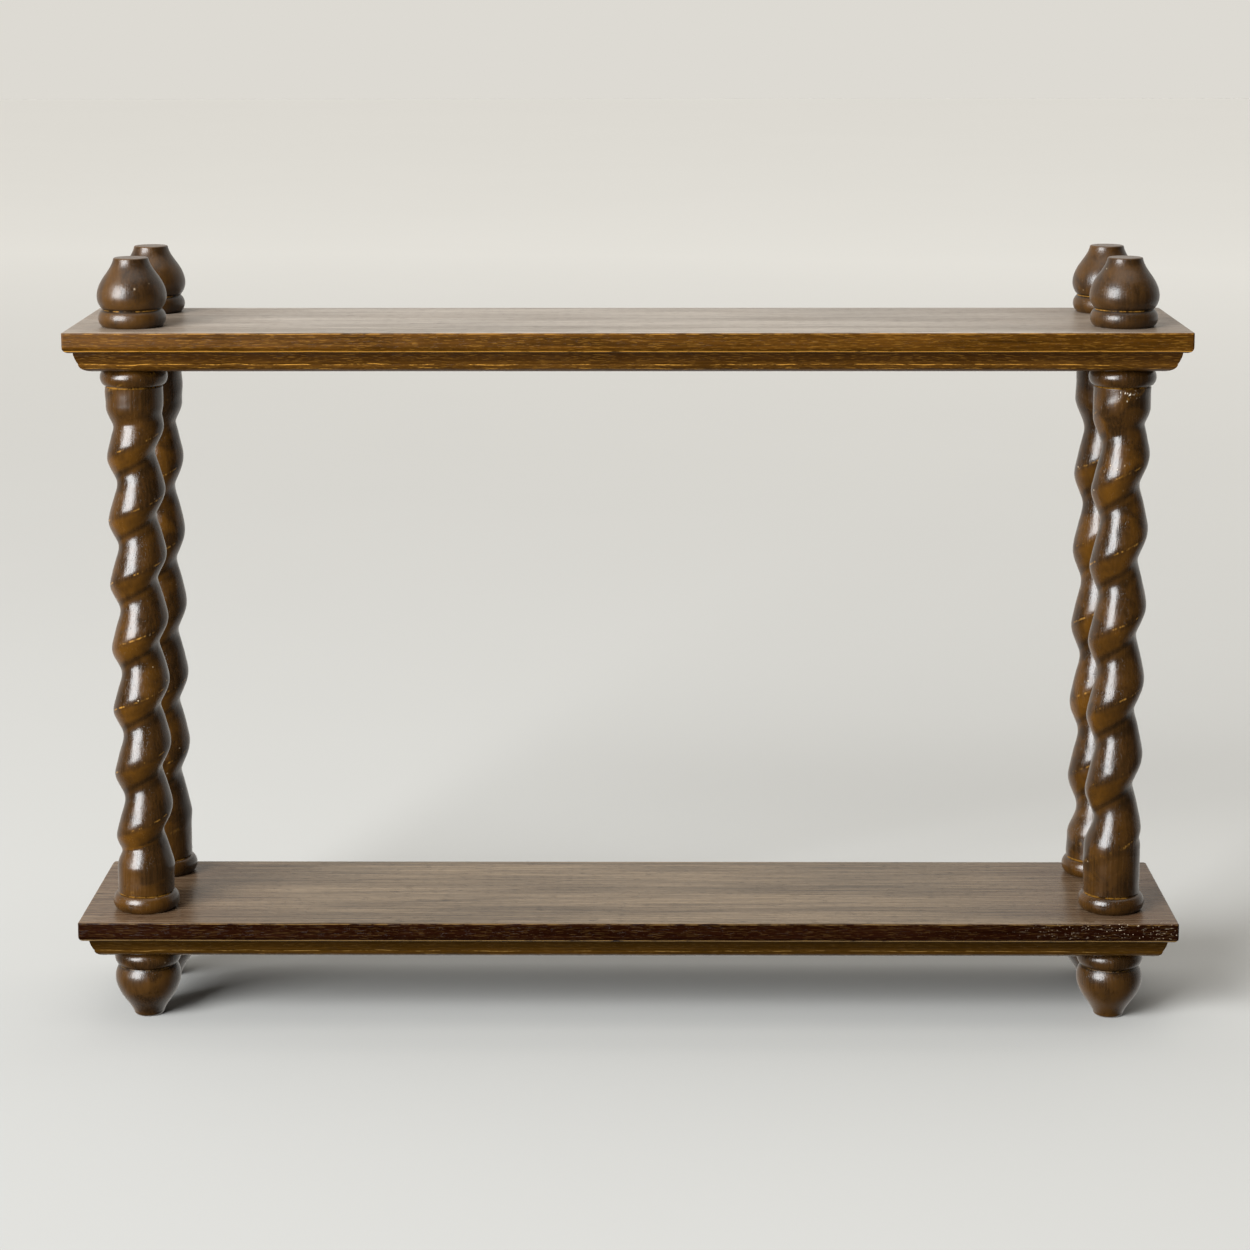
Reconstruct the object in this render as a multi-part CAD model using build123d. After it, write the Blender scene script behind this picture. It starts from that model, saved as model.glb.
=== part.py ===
from build123d import *
import os
from dataclasses import dataclass

# A two-board hanging wall shelf of turned and carved hardwood. Four posts with a single-start barley
# twist hold the lower board under the upper one. A finial stands over each post and a drop hangs
# under it, and a double-ended dowel screw ties each pair through the board between them. Two keyhole
# plates in the upper board's back edge hang the shelf on wall screws.
#
# Frame: millimetres, +Z up, X along the boards, the moulded front faces -Y and the wall is at +Y.
# The origin is the middle of the box's base, on the plane of the four drops' flat tips.

# ---- Boards ----
BOARD_LENGTH = 760.0
BOARD_DEPTH = 152.0
BOARD_THICKNESS = 28.5
BOARD_PITCH = 410.0  # from one board's top face to the other's
BACK_CORNER_RADIUS = 5.0
FRONT_CORNER_RADIUS = 1.5

# Moulded edge, from the top face down. Inward distances are measured from the board's edge.
ARRIS = 1.2
BAND_HEIGHT = 9.5  # flat upper band, its arris included
OVOLO_RADIUS = 4.8
LEDGE_IN = 6.4
HOLLOW_SAGITTA = 0.45
LIP_IN = 9.4
LIP_HEIGHT = 6.0  # from the underside up to the lower arris
FOOT_ROUND_IN = 10.5

# ---- Post places ----
POST_FROM_END = 42.0
POST_FROM_FRONT = 39.0
POST_FROM_BACK = 24.0

# ---- Turnings ----
BEAD_RADIUS = 23.0
BEAD_NECK_RADIUS = 20.0
BEAD_HEIGHT = 12.0
FINIAL_LENGTH = 47.0
FINIAL_BELLY_RADIUS = 23.6
FINIAL_TIP_RADIUS = 12.0
FINIAL_TIP_ROUND = 1.2
DROP_LENGTH = 49.0
DROP_BELLY_RADIUS = 22.8
DROP_TIP_RADIUS = 10.6
DROP_TIP_ROUND = 2.6

# ---- Twist ----
COLLAR_RADIUS = 19.5
STRAND_RADIUS = 16.2  # the round strand that winds up the post
STRAND_OFFSET = 3.2  # from the post's axis to the strand's centre
RUN_OUT = 15.0  # the valley fades into the plain collar over this height
RUN_OUT_RADIUS = 12.5
STRAND_LAP = 8.0  # how far the strand's centre line runs on inside a collar


@dataclass(frozen=True)
class Twist:
    """One hand-cut twist. The crest faces the given direction at the given height above the foot."""

    pitch: float
    crest_height: float
    crest_facing: float
    foot_collar: float
    head_collar: float


TWISTS = {
    "front_left": Twist(pitch=44.5, crest_height=185.0, crest_facing=180, foot_collar=18, head_collar=14),
    "front_right": Twist(pitch=52.5, crest_height=218.0, crest_facing=0, foot_collar=34, head_collar=15),
    "back_left": Twist(pitch=52.2, crest_height=200.0, crest_facing=0, foot_collar=32, head_collar=24),
    "back_right": Twist(pitch=55.5, crest_height=184.0, crest_facing=180, foot_collar=17, head_collar=22),
}

# ---- Dowel screws: a plain shank through the board and a thread at each end ----
SCREW_THREAD_RADIUS = 3.0
SCREW_CORE_RADIUS = 2.2
SCREW_THREAD_PITCH = 2.5
SCREW_THREAD_TURNS = 10
SCREW_POINT = 3.0
PILOT_CLEARANCE = 0.05
BOARD_HOLE_RADIUS = 3.3
PILOT_SPARE = 2.0  # depth left under a screw's point

# ---- Keyhole plates ----
PLATE_SPACING = 406.4  # 16 inches, the spacing of wall studs
PLATE_LENGTH = 38.0
PLATE_HEIGHT = 18.0
PLATE_THICKNESS = 1.5
PLATE_CORNER_RADIUS = 3.0
PLATE_CLEARANCE = 0.1
ENTRY_RADIUS = 4.5
ENTRY_BELOW_CENTRE = 3.5
SLOT_RADIUS = 2.25
SLOT_TRAVEL = 8.0
HEAD_POCKET_RADIUS = 5.3
HEAD_POCKET_DEPTH = 11.0
PLATE_SCREW_SPACING = 28.0

# ---- Countersunk screws of the keyhole plates ----
PLATE_SCREW_HEAD_RADIUS = 2.9
PLATE_SCREW_HEAD_HEIGHT = 1.4
PLATE_SCREW_CORE_RADIUS = 1.1
PLATE_SCREW_THREAD_RADIUS = 1.5
PLATE_SCREW_THREAD_PITCH = 1.25
PLATE_SCREW_THREAD_TURNS = 8
PLATE_SCREW_POINT = 2.0
COUNTERSINK_CLEARANCE = 0.05
RECESS_WIDTH = 0.7
RECESS_SPAN = 3.0
RECESS_DEPTH = 0.7

# ---- Heights and places worked out from the driving dimensions ----
LOWER_UNDERSIDE = DROP_LENGTH
LOWER_TOP = LOWER_UNDERSIDE + BOARD_THICKNESS
UPPER_TOP = LOWER_TOP + BOARD_PITCH
UPPER_UNDERSIDE = UPPER_TOP - BOARD_THICKNESS
POST_LENGTH = UPPER_UNDERSIDE - LOWER_TOP
SCREW_REACH = SCREW_THREAD_TURNS * SCREW_THREAD_PITCH + SCREW_POINT

BACK_FACE = BOARD_DEPTH / 2
POST_X = BOARD_LENGTH / 2 - POST_FROM_END
POST_Y_FRONT = POST_FROM_FRONT - BOARD_DEPTH / 2
POST_Y_BACK = BOARD_DEPTH / 2 - POST_FROM_BACK
POST_PLACES = {
    "front_left": (-POST_X, POST_Y_FRONT),
    "front_right": (POST_X, POST_Y_FRONT),
    "back_left": (-POST_X, POST_Y_BACK),
    "back_right": (POST_X, POST_Y_BACK),
}
PLATE_PLACES = {"left": -PLATE_SPACING / 2, "right": PLATE_SPACING / 2}
PLATE_Z = UPPER_UNDERSIDE + BOARD_THICKNESS / 2


def moulded_edge():
    """Edges of the moulding, top face to underside: x runs inward, y up from the underside."""
    arris = CenterArc((ARRIS, BOARD_THICKNESS - ARRIS), ARRIS, 90, 90)
    band = Line(arris @ 1, (0, BOARD_THICKNESS - BAND_HEIGHT))
    ovolo = CenterArc((OVOLO_RADIUS, BOARD_THICKNESS - BAND_HEIGHT), OVOLO_RADIUS, 180, 90)
    ledge = Line(ovolo @ 1, (LEDGE_IN, (ovolo @ 1).Y))
    hollow = SagittaArc(ledge @ 1, (LIP_IN, LIP_HEIGHT), -HOLLOW_SAGITTA)
    foot = EllipticalCenterArc(
        (LIP_IN + FOOT_ROUND_IN, LIP_HEIGHT), FOOT_ROUND_IN, LIP_HEIGHT, start_angle=180, arc_size=90
    )
    return [arris, band, ovolo, ledge, hollow, foot]


def section_across_length():
    """Section of a board along its length: the moulding at both ends."""
    half = BOARD_LENGTH / 2
    run = [Pos(-half, 0) * edge for edge in moulded_edge()]
    top = Line(run[0] @ 0, (0, BOARD_THICKNESS))
    underside = Line(run[-1] @ 1, (0, 0))
    left = run + [top, underside]
    right = [mirror(edge, about=Plane.YZ) for edge in left]
    return make_face(left + right)


def section_across_depth():
    """Section of a board from front to back: the moulding in front and a plain back edge."""
    half = BOARD_DEPTH / 2
    run = [Pos(-half, 0) * edge for edge in moulded_edge()]
    back_arris = CenterArc((half - ARRIS, BOARD_THICKNESS - ARRIS), ARRIS, 0, 90)
    top = Line(run[0] @ 0, back_arris @ 1)
    back = Line(back_arris @ 0, (half, 0))
    underside = Line(run[-1] @ 1, (half, 0))
    return make_face(run + [top, back_arris, back, underside])


def plan_outline():
    """A board seen from above, with its corners eased."""
    plan = Rectangle(BOARD_LENGTH, BOARD_DEPTH)
    front = plan.vertices().group_by(Axis.Y)[0]
    plan = fillet(front, FRONT_CORNER_RADIUS)
    back = plan.vertices().group_by(Axis.Y)[-1]
    return fillet(back, BACK_CORNER_RADIUS)


def board():
    """A moulded board standing on z = 0, with a clearance hole for each dowel screw.

    The two moulded prisms meet in mitres at the front corners.
    """
    along = extrude(Plane.YZ * section_across_depth(), BOARD_LENGTH / 2, both=True)
    across = extrude(Plane.XZ * section_across_length(), BOARD_DEPTH / 2, both=True)
    body = along & across & extrude(plan_outline(), BOARD_THICKNESS)
    for x, y in POST_PLACES.values():
        body -= Pos(x, y, BOARD_THICKNESS / 2) * Cylinder(BOARD_HOLE_RADIUS, BOARD_THICKNESS)
    return body


def plate_plane(x):
    """Plane on the upper board's back face, seen from the wall, centred on one keyhole plate."""
    return Plane(origin=(x, BACK_FACE, PLATE_Z), x_dir=(-1, 0, 0), z_dir=(0, 1, 0))


def keyhole(radius, travel_radius):
    """Keyhole outline: the entry circle at the bottom and the slot that rises from it."""
    entry = Pos(0, -ENTRY_BELOW_CENTRE) * Circle(radius)
    slot_end = Pos(0, SLOT_TRAVEL - ENTRY_BELOW_CENTRE) * Circle(travel_radius)
    middle = SLOT_TRAVEL / 2 - ENTRY_BELOW_CENTRE
    slot = Pos(0, middle) * Rectangle(2 * travel_radius, SLOT_TRAVEL)
    return entry + slot_end + slot


def hanger_recess(x):
    """The space routed out of the board for one plate, its screws and the wall screw's head."""
    face = plate_plane(x)
    sunk = PLATE_THICKNESS + PLATE_CLEARANCE
    outline = RectangleRounded(
        PLATE_LENGTH + 2 * PLATE_CLEARANCE,
        PLATE_HEIGHT + 2 * PLATE_CLEARANCE,
        PLATE_CORNER_RADIUS + PLATE_CLEARANCE,
    )
    recess = extrude(face * outline, -sunk)
    pocket = extrude(face * keyhole(HEAD_POCKET_RADIUS, HEAD_POCKET_RADIUS), -(sunk + HEAD_POCKET_DEPTH))
    recess += pocket
    depth = PLATE_SCREW_HEAD_HEIGHT + plate_screw_reach() + PLATE_CLEARANCE
    for side in (-1, 1):
        middle = Pos(side * PLATE_SCREW_SPACING / 2, 0, -depth / 2)
        recess += face.location * middle * Cylinder(PLATE_SCREW_THREAD_RADIUS + PILOT_CLEARANCE, depth)
    return recess


def top_board():
    """The upper board, routed in its back edge for the two keyhole plates."""
    body = Pos(0, 0, UPPER_UNDERSIDE) * board()
    for x in PLATE_PLACES.values():
        body -= hanger_recess(x)
    return body


def bottom_board():
    """The lower board, which the posts carry."""
    return Pos(0, 0, LOWER_UNDERSIDE) * board()


def turned(outline):
    """A turning about Z from edges that start and end on the axis."""
    return revolve(Plane.XZ * make_face(outline), Axis.Z)


def bead(foot):
    """Edge of the rounded bead whose lower side is at the given height."""
    return ThreePointArc(
        (BEAD_NECK_RADIUS, foot),
        (BEAD_RADIUS, foot + BEAD_HEIGHT / 2),
        (BEAD_NECK_RADIUS, foot + BEAD_HEIGHT),
    )


def turned_end(length, belly, tip_radius, tip_round):
    """A bead, a belly and a narrow flat tip, turned upward from z = 0."""
    base = bead(0)
    tip_start = (tip_radius, length - tip_round)
    shoulder_height = BEAD_HEIGHT + (length - BEAD_HEIGHT) * 0.28
    flank_height = BEAD_HEIGHT + (length - BEAD_HEIGHT) * 0.6
    waist_height = BEAD_HEIGHT + (length - BEAD_HEIGHT) * 0.8
    swell = Spline(
        base @ 1,
        (belly, shoulder_height),
        (tip_radius + (belly - tip_radius) * 0.64, flank_height),
        (tip_radius + (belly - tip_radius) * 0.22, waist_height),
        tip_start,
    )
    rounding = RadiusArc(tip_start, (tip_radius - tip_round, length), -tip_round)
    top = Line(rounding @ 1, (0, length))
    axis = Line((0, length), (0, 0))
    foot = Line((0, 0), base @ 0)
    return turned([foot, base, swell, rounding, top, axis])


def pilot(depth):
    """Blind hole for half of a dowel screw, rising from z = 0."""
    radius = SCREW_THREAD_RADIUS + PILOT_CLEARANCE
    return Pos(0, 0, depth / 2) * Cylinder(radius, depth)


def finial():
    """Turned finial standing on z = 0, bored from below for its dowel screw."""
    body = turned_end(FINIAL_LENGTH, FINIAL_BELLY_RADIUS, FINIAL_TIP_RADIUS, FINIAL_TIP_ROUND)
    return body - pilot(SCREW_REACH + PILOT_SPARE)


def drop():
    """Turned drop hanging from z = 0, bored from above for its dowel screw."""
    body = turned_end(DROP_LENGTH, DROP_BELLY_RADIUS, DROP_TIP_RADIUS, DROP_TIP_ROUND)
    body -= pilot(SCREW_REACH + PILOT_SPARE)
    return mirror(body, about=Plane.XY)


def post_end(collar):
    """Foot of a post: bead, plain collar and the taper that the twist grows out of."""
    base = bead(0)
    neck = Line(base @ 1, (COLLAR_RADIUS, BEAD_HEIGHT))
    side = Line(neck @ 1, (COLLAR_RADIUS, BEAD_HEIGHT + collar))
    taper = Line(side @ 1, (RUN_OUT_RADIUS, BEAD_HEIGHT + collar + RUN_OUT))
    top = Line(taper @ 1, (0, BEAD_HEIGHT + collar + RUN_OUT))
    axis = Line((0, BEAD_HEIGHT + collar + RUN_OUT), (0, 0))
    foot = Line((0, 0), base @ 0)
    return turned([foot, base, neck, side, taper, top, axis])


def strand(twist):
    """The round strand that winds right-handed about the post's axis from collar to collar."""
    start = BEAD_HEIGHT + twist.foot_collar - STRAND_LAP
    end = POST_LENGTH - BEAD_HEIGHT - twist.head_collar + STRAND_LAP
    path = Helix(twist.pitch, end - start, STRAND_OFFSET)
    section = Plane(origin=path @ 0, z_dir=path % 0) * Circle(STRAND_RADIUS)
    wound = sweep(section, path=path, is_frenet=True)
    turn = twist.crest_facing - 360 * (twist.crest_height - start) / twist.pitch
    return Pos(0, 0, start) * Rot(0, 0, turn) * wound


def post(twist):
    """Barley-twist post standing on z = 0, bored at both ends for dowel screws."""
    head = Pos(0, 0, POST_LENGTH) * mirror(post_end(twist.head_collar), about=Plane.XY)
    body = post_end(twist.foot_collar) + strand(twist) + head
    body -= pilot(SCREW_REACH + PILOT_SPARE)
    body -= Pos(0, 0, POST_LENGTH) * mirror(pilot(SCREW_REACH + PILOT_SPARE), about=Plane.XY)
    return body


def thread_teeth(start, turns, pitch, core, crest):
    """Corners of a saw-toothed thread that climbs from the given height."""
    teeth = []
    for turn in range(turns):
        foot = start + turn * pitch
        teeth.append((core, foot))
        teeth.append((crest, foot + pitch / 2))
    teeth.append((core, start + turns * pitch))
    return teeth


def dowel_screw():
    """Double-ended wood screw, centred on z = 0: a plain shank with a thread and a point at each end."""
    half_shank = BOARD_THICKNESS / 2
    teeth = thread_teeth(
        half_shank, SCREW_THREAD_TURNS, SCREW_THREAD_PITCH, SCREW_CORE_RADIUS, SCREW_THREAD_RADIUS
    )
    upper = [(SCREW_THREAD_RADIUS, 0), (SCREW_THREAD_RADIUS, half_shank)] + teeth
    tip = (0, half_shank + SCREW_REACH)
    half = turned(Polyline(upper + [tip, (0, 0)], close=True).edges())
    return half + mirror(half, about=Plane.XY)


def hanger_plate(x):
    """One steel keyhole plate, flush with the back face, with countersunk holes for two screws."""
    face = plate_plane(x)
    outline = RectangleRounded(PLATE_LENGTH, PLATE_HEIGHT, PLATE_CORNER_RADIUS)
    plate = extrude(face * (outline - keyhole(ENTRY_RADIUS, SLOT_RADIUS)), -PLATE_THICKNESS)
    for side in (-1, 1):
        place = face.location * Pos(side * PLATE_SCREW_SPACING / 2, 0, 0)
        head_radius = PLATE_SCREW_HEAD_RADIUS + COUNTERSINK_CLEARANCE
        shank_radius = PLATE_SCREW_THREAD_RADIUS + PILOT_CLEARANCE
        sink = Pos(0, 0, -PLATE_SCREW_HEAD_HEIGHT / 2) * Cone(shank_radius, head_radius, PLATE_SCREW_HEAD_HEIGHT)
        through = Pos(0, 0, -PLATE_THICKNESS / 2) * Cylinder(shank_radius, PLATE_THICKNESS)
        plate -= place * sink
        plate -= place * through
    return plate


def plate_screw_reach():
    """Length of a plate screw below its head."""
    return PLATE_SCREW_THREAD_TURNS * PLATE_SCREW_THREAD_PITCH + PLATE_SCREW_POINT


def plate_screw():
    """Countersunk wood screw pointing down, its flat head in the plane z = 0."""
    head = (PLATE_SCREW_THREAD_RADIUS, PLATE_SCREW_HEAD_HEIGHT)
    teeth = thread_teeth(
        PLATE_SCREW_HEAD_HEIGHT,
        PLATE_SCREW_THREAD_TURNS,
        PLATE_SCREW_THREAD_PITCH,
        PLATE_SCREW_CORE_RADIUS,
        PLATE_SCREW_THREAD_RADIUS,
    )
    tip = (0, PLATE_SCREW_HEAD_HEIGHT + plate_screw_reach())
    outline = [(0, 0), (PLATE_SCREW_HEAD_RADIUS, 0), head] + teeth + [tip]
    body = turned(Polyline(outline, close=True).edges())
    for span, width in ((RECESS_SPAN, RECESS_WIDTH), (RECESS_WIDTH, RECESS_SPAN)):
        body -= Pos(0, 0, RECESS_DEPTH / 2) * Box(span, width, RECESS_DEPTH)
    return mirror(body, about=Plane.XY)


def plate_screws(x):
    """The two screws of one keyhole plate, as separate solids."""
    face = plate_plane(x)
    places = [face.location * Pos(side * PLATE_SCREW_SPACING / 2, 0, 0) for side in (-1, 1)]
    return Compound([place * plate_screw().solid() for place in places])


def write(shape, node):
    """Write one sub-part's STEP file."""
    export_step(shape, os.path.join("parts", node + ".step"))


os.makedirs("parts", exist_ok=True)
write(top_board(), "top_board")
write(bottom_board(), "bottom_board")
for corner, (post_x, post_y) in POST_PLACES.items():
    write(Pos(post_x, post_y, LOWER_TOP) * post(TWISTS[corner]), "post_" + corner)
    write(Pos(post_x, post_y, UPPER_TOP) * finial(), "finial_" + corner)
    write(Pos(post_x, post_y, LOWER_UNDERSIDE) * drop(), "drop_" + corner)
    write(Pos(post_x, post_y, UPPER_TOP - BOARD_THICKNESS / 2) * dowel_screw(), "upper_dowel_screw_" + corner)
    write(Pos(post_x, post_y, LOWER_TOP - BOARD_THICKNESS / 2) * dowel_screw(), "lower_dowel_screw_" + corner)
for hand, plate_x in PLATE_PLACES.items():
    write(hanger_plate(plate_x), "keyhole_plate_" + hand)
    write(plate_screws(plate_x), "plate_screws_" + hand)
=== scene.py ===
"""Looks of a two-board wall shelf with barley-twist posts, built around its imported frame."""

import logging
import math
from dataclasses import dataclass, field
from enum import Enum

import bmesh
import bpy
from mathutils import Matrix, Vector


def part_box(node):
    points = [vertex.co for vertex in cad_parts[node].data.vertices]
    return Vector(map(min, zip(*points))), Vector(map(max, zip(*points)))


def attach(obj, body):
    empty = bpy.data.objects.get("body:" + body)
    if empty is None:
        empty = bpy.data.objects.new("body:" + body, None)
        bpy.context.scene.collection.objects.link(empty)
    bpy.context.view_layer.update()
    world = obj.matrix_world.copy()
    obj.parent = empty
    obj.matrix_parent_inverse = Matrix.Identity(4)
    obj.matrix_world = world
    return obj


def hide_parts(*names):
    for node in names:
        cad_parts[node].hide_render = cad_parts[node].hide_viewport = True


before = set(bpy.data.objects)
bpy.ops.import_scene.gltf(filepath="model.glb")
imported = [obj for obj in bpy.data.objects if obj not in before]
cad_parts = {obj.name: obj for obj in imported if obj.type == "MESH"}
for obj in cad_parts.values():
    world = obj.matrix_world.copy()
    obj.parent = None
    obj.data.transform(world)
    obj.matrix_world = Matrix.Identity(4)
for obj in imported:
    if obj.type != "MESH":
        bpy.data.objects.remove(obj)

LOG = logging.getLogger("wall_shelf")
MM = 0.001
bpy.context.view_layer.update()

Colour = tuple[float, float, float, float]
Span = tuple[float, float]
Triple = tuple[float, float, float]
Socket = bpy.types.NodeSocket
Value = Socket | float | str | tuple


def stain(red: int, green: int, blue: int) -> Colour:
    """Turn an 8-bit screen colour into the linear colour that a shader wants.

    Args:
        red: Red, 0 to 255.
        green: Green, 0 to 255.
        blue: Blue, 0 to 255.

    Returns:
        The linear colour, with full opacity.
    """
    linear = []
    for channel in (red, green, blue):
        share = channel / 255
        linear.append(share / 12.92 if share <= 0.04045 else ((share + 0.055) / 1.055) ** 2.4)
    return linear[0], linear[1], linear[2], 1.0


class Corner(Enum):
    """The four corners of the shelf, where a post, a finial and a drop stand in line."""

    FRONT_LEFT = "front_left"
    FRONT_RIGHT = "front_right"
    BACK_LEFT = "back_left"
    BACK_RIGHT = "back_right"


class Hand(Enum):
    """The two keyhole plates, as seen from the front."""

    LEFT = "left"
    RIGHT = "right"


# ---------------------------------------------------------------------------------------------
# Laying out nodes
# ---------------------------------------------------------------------------------------------


class Bench:
    """Lays nodes out in one tree and joins them up."""

    def __init__(self, tree: bpy.types.NodeTree) -> None:
        """Take the tree to work in."""
        self.tree = tree

    def feed(self, socket: Socket, value: Value) -> None:
        """Give an input either a link or a constant.

        Args:
            socket: The input to feed.
            value: Another node's output, or a constant.
        """
        if isinstance(value, bpy.types.NodeSocket):
            self.tree.links.new(value, socket)
        else:
            socket.default_value = value

    def add(self, kind: str, inputs: dict | None = None, **settings: object) -> bpy.types.Node:
        """Add one node.

        Args:
            kind: The node's type name.
            inputs: What to feed it, by the input's name or number.
            **settings: Properties to set on it.

        Returns:
            The new node.
        """
        node = self.tree.nodes.new(kind)
        for name, value in settings.items():
            setattr(node, name, value)
        for key, value in (inputs or {}).items():
            self.feed(node.inputs[key], value)
        return node

    def math(self, operation: str, *values: Value, clamp: bool = False) -> Socket:
        """Work out a sum, kept between 0 and 1 if it is clamped."""
        inputs = dict(enumerate(values))
        return self.add("ShaderNodeMath", inputs, operation=operation, use_clamp=clamp).outputs[0]

    def times(self, value: Value, by: Value, clamp: bool = False) -> Socket:
        """Multiply one value by another."""
        return self.math("MULTIPLY", value, by, clamp=clamp)

    def plus(self, value: Value, more: Value, clamp: bool = False) -> Socket:
        """Add one value to another."""
        return self.math("ADD", value, more, clamp=clamp)

    def minus(self, value: Value, less: Value) -> Socket:
        """Take one value from another."""
        return self.math("SUBTRACT", value, less)

    def onto(self, base: Value, value: Value, by: Value, clamp: bool = False) -> Socket:
        """Add a share of a value to a base."""
        return self.math("MULTIPLY_ADD", value, by, base, clamp=clamp)

    def vector(self, operation: str, *values: Value) -> Socket:
        """Work out a sum on vectors."""
        return self.add("ShaderNodeVectorMath", dict(enumerate(values)), operation=operation).outputs[0]

    def zoomed(self, place: Value, scale: Value) -> Socket:
        """Scale a place evenly."""
        return self.add("ShaderNodeVectorMath", {0: place, "Scale": scale}, operation="SCALE").outputs[0]

    def span(
        self, value: Value, low: Value, high: Value, first: Value, last: Value, kind: str = "LINEAR"
    ) -> Socket:
        """Carry a value from one range over to another, kept inside it.

        Args:
            value: The value to read.
            low: Start of its range.
            high: End of its range.
            first: Result at the start.
            last: Result at the end.
            kind: How the result runs between them.

        Returns:
            The carried value.
        """
        inputs = {"Value": value, "From Min": low, "From Max": high, "To Min": first, "To Max": last}
        node = self.add("ShaderNodeMapRange", inputs, interpolation_type=kind, clamp=True)
        return node.outputs["Result"]

    def ease(self, value: Value, low: Value, high: Value) -> Socket:
        """Rise from 0 at one value to 1 at another, or fall where the first is the larger."""
        return self.span(value, low, high, 0.0, 1.0, "SMOOTHSTEP")

    def stripe(self, value: Value, middle: float, half: float, soft: float) -> Socket:
        """Mark a stripe: 1 within half of its middle, fading to 0 over a soft edge."""
        return self.ease(self.math("ABSOLUTE", self.minus(value, middle)), half + soft, half)

    def blend(self, share: Value, first: Value, second: Value) -> Socket:
        """Lay a share of the second colour over the first."""
        inputs = {0: share, 6: first, 7: second}
        return self.add("ShaderNodeMix", inputs, data_type="RGBA", clamp_factor=True).outputs[2]

    def noise(
        self, place: Value, detail: float, rough: float, warp: float = 0.0, stretch: Triple | None = None
    ) -> Socket:
        """Add a noise texture.

        Args:
            place: The point to read it at.
            detail: How many finer layers it has.
            rough: How strong the finer layers are.
            warp: How far it is bent.
            stretch: What X, Y and Z are multiplied by first.

        Returns:
            The noise, from 0 to 1.
        """
        spot = self.vector("MULTIPLY", place, stretch) if stretch else place
        inputs = {"Vector": spot, "Scale": 1.0, "Detail": detail, "Roughness": rough, "Distortion": warp}
        return self.add("ShaderNodeTexNoise", inputs, noise_dimensions="3D").outputs["Fac"]

    def split(self, vector: Value) -> tuple[Socket, Socket, Socket]:
        """Take a vector apart into its X, Y and Z."""
        node = self.add("ShaderNodeSeparateXYZ", {0: vector})
        return node.outputs[0], node.outputs[1], node.outputs[2]

    def join(self, x: Value, y: Value, z: Value) -> Socket:
        """Put a vector together from its X, Y and Z."""
        return self.add("ShaderNodeCombineXYZ", {0: x, 1: y, 2: z}).outputs[0]


class SharedGroup:
    """A shader node group that several finishes use, made once and placed in each of them.

    Every group reads a Place, and the numbers in its inputs.
    """

    title = ""
    inputs: dict[str, float] = {}
    outputs: tuple[str, ...] = ()

    def __init__(self) -> None:
        """Build the group's tree."""
        self.tree = bpy.data.node_groups.new(self.title, "ShaderNodeTree")
        face = self.tree.interface
        face.new_socket(name="Place", in_out="INPUT", socket_type="NodeSocketVector")
        for name, value in self.inputs.items():
            socket = face.new_socket(name=name, in_out="INPUT", socket_type="NodeSocketFloat")
            socket.default_value = value
        for name in self.outputs:
            face.new_socket(name=name, in_out="OUTPUT", socket_type="NodeSocketFloat")
        bench = Bench(self.tree)
        entry = bench.add("NodeGroupInput")
        bench.add("NodeGroupOutput", self.work(bench, {s.name: s for s in entry.outputs if s.name}))

    def work(self, bench: Bench, given: dict[str, Socket]) -> dict[str, Socket]:
        """Lay out the group's nodes.

        Args:
            bench: The bench for the group's tree.
            given: The group's inputs by name.

        Returns:
            The group's outputs by name.
        """
        raise NotImplementedError

    def place(self, bench: Bench, **values: Value) -> dict[str, Socket]:
        """Put the group in a material.

        Args:
            bench: The bench for the material's tree.
            **values: Its inputs, with underscores for spaces.

        Returns:
            Its outputs by name.
        """
        inputs = {name.replace("_", " "): value for name, value in values.items()}
        node = bench.add("ShaderNodeGroup", inputs, node_tree=self.tree)
        return {socket.name: socket for socket in node.outputs}


class TimberGrain(SharedGroup):
    """Figure, fine streaks and short open pores that run along the X of the place given."""

    title = "timber_grain"
    inputs = {"Fineness": 1.0, "Pore Share": 0.4}
    outputs = ("Figure", "Streak", "Pore")
    figure_stretch = (2.6, 34.0, 34.0)
    streak_stretch = (9.0, 520.0, 520.0)
    pore_stretch = (105.0, 1500.0, 1500.0)
    patch_stretch = (22.0, 120.0, 120.0)
    pore_edge = 0.05

    def work(self, bench: Bench, given: dict[str, Socket]) -> dict[str, Socket]:
        """Lay out the grain.

        Args:
            bench: The bench for the group's tree.
            given: Place, Fineness and Pore Share.

        Returns:
            Figure, Streak and Pore, each from 0 to 1.
        """
        spot = bench.zoomed(given["Place"], given["Fineness"])
        broad = bench.noise(spot, 4.0, 0.55, 0.6, self.figure_stretch)
        fine = bench.noise(spot, 4.0, 0.62, 0.15, self.streak_stretch)
        dash = bench.noise(spot, 1.0, 0.5, stretch=self.pore_stretch)
        patchy = bench.noise(spot, 2.0, 0.5, stretch=self.patch_stretch)
        gate = bench.onto(0.76, given["Pore Share"], -0.28)
        gate = bench.onto(bench.plus(gate, 0.07), patchy, -0.14)
        pore = bench.ease(dash, gate, bench.plus(gate, self.pore_edge))
        return {"Figure": bench.ease(broad, 0.3, 0.7), "Streak": bench.ease(fine, 0.28, 0.74), "Pore": pore}


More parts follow.
